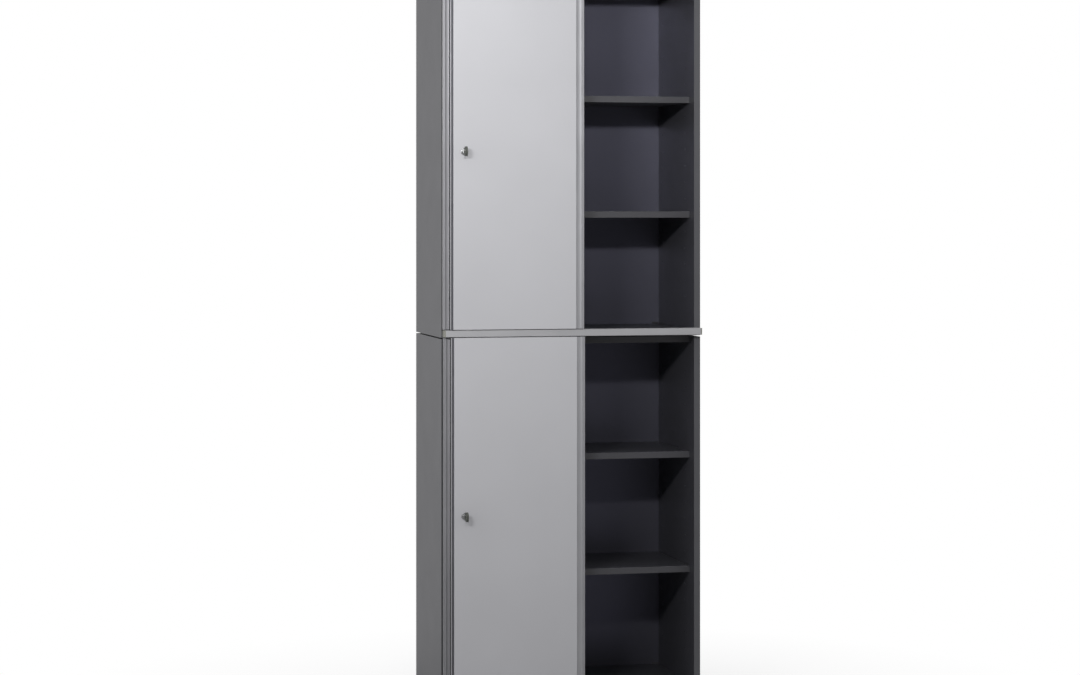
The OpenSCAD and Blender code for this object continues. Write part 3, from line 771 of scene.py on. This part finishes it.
def screw_tree():
    """Cross-head screws on the points of a mesh, turned towards one side."""
    tree = bpy.data.node_groups.new("cross_head_screws", "GeometryNodeTree")
    sockets = {}
    for name, kind, value in (
        ("Places", "NodeSocketGeometry", None),
        ("Head diameter", "NodeSocketFloat", 8 * MM),
        ("Head height", "NodeSocketFloat", 0.8 * MM),
        ("Recess length", "NodeSocketFloat", 4.2 * MM),
        ("Recess width", "NodeSocketFloat", 0.9 * MM),
        ("Facing", "NodeSocketVector", (0, 0, 1)),
        ("Seed", "NodeSocketInt", 1),
        ("Finish", "NodeSocketMaterial", None),
    ):
        socket = tree.interface.new_socket(name, in_out="INPUT", socket_type=kind)
        if value is not None:
            socket.default_value = value
        sockets[name] = socket.identifier
    tree.interface.new_socket("Screws", in_out="OUTPUT", socket_type="NodeSocketGeometry")
    given = add(tree, "NodeGroupInput").outputs
    radius = add(
        tree, "ShaderNodeMath", {0: given["Head diameter"], 1: 0.5}, operation="MULTIPLY"
    ).outputs[0]
    crown = add(
        tree, "ShaderNodeMath", {0: radius, 1: CROWN_SHARE}, operation="MULTIPLY"
    ).outputs[0]
    head = add(
        tree,
        "GeometryNodeMeshCone",
        {
            "Vertices": HEAD_SIDES,
            "Side Segments": 1,
            "Radius Top": crown,
            "Radius Bottom": radius,
            "Depth": given["Head height"],
        },
    ).outputs["Mesh"]
    # Two crossed bars as high as the head, with their middle at its top, cut the recess to
    # half of the head's height.
    cross = add(tree, "GeometryNodeMeshBoolean", operation="UNION")
    for long_axis, short_axis in (("X", "Y"), ("Y", "X")):
        size = add(
            tree,
            "ShaderNodeCombineXYZ",
            {
                long_axis: given["Recess length"],
                short_axis: given["Recess width"],
                "Z": given["Head height"],
            },
        ).outputs[0]
        bar = add(tree, "GeometryNodeMeshCube", {"Size": size}).outputs["Mesh"]
        tree.links.new(bar, cross.inputs["Mesh 2"])
    head_top = add(tree, "ShaderNodeCombineXYZ", {"Z": given["Head height"]}).outputs[0]
    moved = add(
        tree,
        "GeometryNodeTransform",
        {"Geometry": cross.outputs["Mesh"], "Translation": head_top},
    ).outputs["Geometry"]
    cut = add(
        tree,
        "GeometryNodeMeshBoolean",
        {"Mesh 1": head, "Mesh 2": moved},
        operation="DIFFERENCE",
    ).outputs["Mesh"]
    # Each screw stopped at its own angle when it was tight.
    turn = add(
        tree,
        "FunctionNodeRandomValue",
        {2: 0.0, 3: math.tau, 8: given["Seed"]},
        data_type="FLOAT",
    ).outputs[1]
    spun = add(
        tree, "FunctionNodeAxisAngleToRotation", {"Axis": (0, 0, 1), "Angle": turn}
    ).outputs["Rotation"]
    faced = add(
        tree, "FunctionNodeAlignRotationToVector", {"Vector": given["Facing"]}, axis="Z"
    ).outputs["Rotation"]
    rotation = add(
        tree,
        "FunctionNodeRotateRotation",
        {"Rotation": faced, "Rotate By": spun},
        rotation_space="LOCAL",
    ).outputs["Rotation"]
    placed = add(
        tree,
        "GeometryNodeInstanceOnPoints",
        {"Points": given["Places"], "Instance": cut, "Rotation": rotation},
    ).outputs["Instances"]
    real = add(tree, "GeometryNodeRealizeInstances", {"Geometry": placed}).outputs["Geometry"]
    finished = add(
        tree, "GeometryNodeSetMaterial", {"Geometry": real, "Material": given["Finish"]}
    ).outputs["Geometry"]
    add(tree, "NodeGroupOutput", {"Screws": finished})
    return tree, sockets


SCREW_TREE, SCREW_SOCKETS = screw_tree()


def screws(name, places, settings, body):
    """Plain mesh of screws at these places, from the tree with these settings."""
    points = bpy.data.meshes.new(f"{name}_places")
    points.from_pydata(places, [], [])
    maker = bpy.data.objects.new(f"{name}_maker", points)
    bpy.context.scene.collection.objects.link(maker)
    rows = maker.modifiers.new("screws", "NODES")
    rows.node_group = SCREW_TREE
    for label, value in settings.items():
        rows[SCREW_SOCKETS[label]] = value
    mesh = bpy.data.meshes.new_from_object(
        maker.evaluated_get(bpy.context.evaluated_depsgraph_get())
    )
    mesh.name = name
    bpy.data.objects.remove(maker)
    piece = bpy.data.objects.new(name, mesh)
    bpy.context.scene.collection.objects.link(piece)
    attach(piece, body)


def between(first, last, count):
    """Evenly spaced numbers from first to last."""
    return [first + (last - first) * i / (count - 1) for i in range(count)]


# Screws of a rail: how many, how far from the board's ends and from the flange's rear edge.
RAIL_SCREWS = 7
RAIL_SCREW_INSET = 60 * MM
FLANGE_INSET = 10 * MM
FLANGE_THICKNESS = 1.6 * MM
# Screws of a back panel along each board, and how far from the board's ends.
BACK_SCREWS = 6
BACK_SCREW_INSET = 45 * MM
# Every head stands this deep in what it holds, so that no two faces lie in one plane.
SUNK = 0.05 * MM

rail_screw_places = []
back_screw_places = []
for unit, rail in (("lower", "base_rail"), ("upper", "seam_rail")):
    board_low, board_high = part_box(f"{unit}_floor_board")
    flange_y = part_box(rail)[1].y - FLANGE_INSET
    head_z = board_high.z + FLANGE_THICKNESS - SUNK
    for x in between(board_low.x + RAIL_SCREW_INSET, board_high.x - RAIL_SCREW_INSET, RAIL_SCREWS):
        rail_screw_places.append((x, flange_y, head_z))
    back_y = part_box(f"{unit}_back_panel")[1].y - SUNK
    for board in ("floor_board", "top_board"):
        low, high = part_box(f"{unit}_{board}")
        for x in between(low.x + BACK_SCREW_INSET, high.x - BACK_SCREW_INSET, BACK_SCREWS):
            back_screw_places.append((x, back_y, (low.z + high.z) / 2))
screws(
    "rail_screws",
    rail_screw_places,
    {"Facing": (0, 0, 1), "Seed": 11, "Finish": pin_steel},
    "root",
)
screws(
    "back_panel_screws",
    back_screw_places,
    {
        "Head diameter": 9 * MM,
        "Head height": 1.4 * MM,
        "Facing": (0, 1, 0),
        "Seed": 23,
        "Finish": pin_steel,
    },
    "root",
)


# Studio: pale floor, white backdrop, two softboxes in front

# Half of the floor's side.
FLOOR_HALF = 9.0
# Tone of the floor in the picture, and in the light that it sends back up.
FLOOR_SEEN = "#fafafa"
FLOOR_LIT = "#a0a0a0"
# Share of the floor's own light and shadow in the picture, near the cabinet; the rest is
# white, and all of it from the second distance on.
FLOOR_SHADOW = 0.55
FLOOR_FADE = (0.5, 1.7)
# Share of white in the floor behind the cabinet, in glossy faces, and the depths between
# which it sets in.
FLOOR_MIRRORED = 0.66
FLOOR_MIRRORED_FROM = (-1.0, 0.5)
# Level of the white studio as a soft fill, from its side walls and from behind the camera,
# and the directions between which the one turns into the other.
SIDE_FILL = 1.0
FRONT_FILL = 0.0
FILL_FROM = (-0.85, -0.55)
# Level of the studio in glossy faces, towards the backdrop and behind the camera, and the
# directions between which the one turns into the other.
BACKDROP = 0.9
DARK_ROOM = 0.06
BACKDROP_FROM = (-0.8, -0.2)
# The softboxes hang in front, a little higher than the top.
LAMP_Y = -3.8
LAMP_Z = 2.53
LAMP_HEIGHT = 0.15
LAMPS = {
    # name: (x, width, watts, spread in degrees, x of the point it aims at)
    "right_softbox": (-0.7, 0.6, 10.8, 75, -0.7),
    "left_softbox": (-2.3, 1.0, 28.0, 120, 0.1),
}
# The lens, its shift and the camera's place give the cabinet's edges where the photo has them.
SENSOR_MM = 36
LENS_MM = 91.33
CAMERA_SHIFT = -0.1195
CAMERA_PLACE = (-1.920, -8.180, 1.532)
CAMERA_TURN = math.radians(-12.81)
CAMERA_REACH = 100
# Turn that makes a lamp or the camera look level.
LEVEL = math.radians(90)


def studio_floor():
    """Pale floor that shows white and still takes the cabinet's shadow."""
    material, tree, place = blank_material("pale_studio_floor")
    ray = add(tree, "ShaderNodeLightPath").outputs
    # Glossy faces mirror the white floor behind the cabinet; in front it stays matt grey.
    depth = add(tree, "ShaderNodeSeparateXYZ", {0: place}).outputs["Y"]
    distance = add(tree, "ShaderNodeVectorMath", {0: place}, operation="LENGTH").outputs["Value"]
    behind, white = [
        add(
            tree,
            "ShaderNodeMapRange",
            {"Value": value, "From Min": near, "From Max": far, "To Min": low, "To Max": high},
        ).outputs["Result"]
        for value, (near, far), low, high in (
            (depth, FLOOR_MIRRORED_FROM, 0.0, FLOOR_MIRRORED),
            (distance, FLOOR_FADE, 1.0 - FLOOR_SHADOW, 1.0),
        )
    ]
    mirrored = add(
        tree, "ShaderNodeMath", {0: ray["Is Glossy Ray"], 1: behind}, operation="MULTIPLY"
    ).outputs[0]
    seen = add(
        tree, "ShaderNodeMath", {0: ray["Is Camera Ray"], 1: mirrored}, operation="MAXIMUM"
    ).outputs[0]
    share = add(tree, "ShaderNodeMath", {0: seen, 1: white}, operation="MULTIPLY").outputs[0]
    paper = add(
        tree,
        "ShaderNodeMix",
        {0: ray["Is Camera Ray"], 6: linear(FLOOR_LIT), 7: linear(FLOOR_SEEN)},
        data_type="RGBA",
    ).outputs[2]
    matt = add(tree, "ShaderNodeBsdfDiffuse", {"Color": paper}).outputs[0]
    glow = add(
        tree, "ShaderNodeEmission", {"Color": linear("#ffffff"), "Strength": 1.0}
    ).outputs[0]
    mixed = add(tree, "ShaderNodeMixShader", {0: share, 1: matt, 2: glow}).outputs[0]
    add(tree, "ShaderNodeOutputMaterial", {"Surface": mixed})
    mesh = bpy.data.meshes.new("studio_floor")
    corners = [(-1, -1), (1, -1), (1, 1), (-1, 1)]
    mesh.from_pydata([(x * FLOOR_HALF, y * FLOOR_HALF, 0) for x, y in corners], [], [range(4)])
    mesh.materials.append(material)
    floor = bpy.data.objects.new("studio_floor", mesh)
    bpy.context.scene.collection.objects.link(floor)


def surroundings():
    """White to the camera, a backdrop and a dark room in glossy faces, a fill for the light."""
    world = bpy.data.worlds.new("studio")
    world.use_nodes = True
    tree = world.node_tree
    tree.nodes.clear()
    ray = add(tree, "ShaderNodeLightPath").outputs
    direction = add(tree, "ShaderNodeTexCoord").outputs["Generated"]
    depth = add(tree, "ShaderNodeSeparateXYZ", {0: direction}).outputs["Y"]
    reflected, fill = [
        add(
            tree,
            "ShaderNodeMapRange",
            {"Value": depth, "From Min": front, "From Max": back, "To Min": low, "To Max": high},
        ).outputs["Result"]
        for (front, back), low, high in (
            (BACKDROP_FROM, DARK_ROOM, BACKDROP),
            (FILL_FROM, FRONT_FILL, SIDE_FILL),
        )
    ]
    mirrored = add(
        tree,
        "ShaderNodeMath",
        {0: ray["Is Glossy Ray"], 1: ray["Is Transmission Ray"]},
        operation="MAXIMUM",
    ).outputs[0]
    fill_or_reflection = add(
        tree, "ShaderNodeMix", {0: mirrored, 2: fill, 3: reflected}, data_type="FLOAT"
    ).outputs[0]
    strength = add(
        tree,
        "ShaderNodeMix",
        {0: ray["Is Camera Ray"], 2: fill_or_reflection, 3: 1.0},
        data_type="FLOAT",
    ).outputs[0]
    white = add(
        tree, "ShaderNodeBackground", {"Color": linear("#ffffff"), "Strength": strength}
    ).outputs[0]
    add(tree, "ShaderNodeOutputWorld", {"Surface": white})
    bpy.context.scene.world = world


def softboxes():
    """Low softboxes: one beams straight ahead past the left side, one wide from the left."""
    for name, (x, width, watts, spread, aim_x) in LAMPS.items():
        lamp = bpy.data.lights.new(name, "AREA")
        lamp.shape = "RECTANGLE"
        lamp.size = width
        lamp.size_y = LAMP_HEIGHT
        lamp.energy = watts
        lamp.spread = math.radians(spread)
        stand = bpy.data.objects.new(name, lamp)
        stand.location = (x, LAMP_Y, LAMP_Z)
        stand.rotation_euler = (LEVEL, 0, math.atan2(x - aim_x, -LAMP_Y))
        bpy.context.scene.collection.objects.link(stand)


def photo_camera():
    """Level camera left of the cabinet, its frame lowered by the lens shift."""
    camera = bpy.data.cameras.new("photo_camera")
    camera.sensor_width = SENSOR_MM
    camera.lens = LENS_MM
    camera.shift_y = CAMERA_SHIFT
    camera.clip_end = CAMERA_REACH
    stand = bpy.data.objects.new("photo_camera", camera)
    stand.location = CAMERA_PLACE
    stand.rotation_euler = (LEVEL, 0, CAMERA_TURN)
    bpy.context.scene.collection.objects.link(stand)
    bpy.context.scene.camera = stand


studio_floor()
surroundings()
softboxes()
photo_camera()
bpy.context.scene.view_settings.view_transform = "Standard"
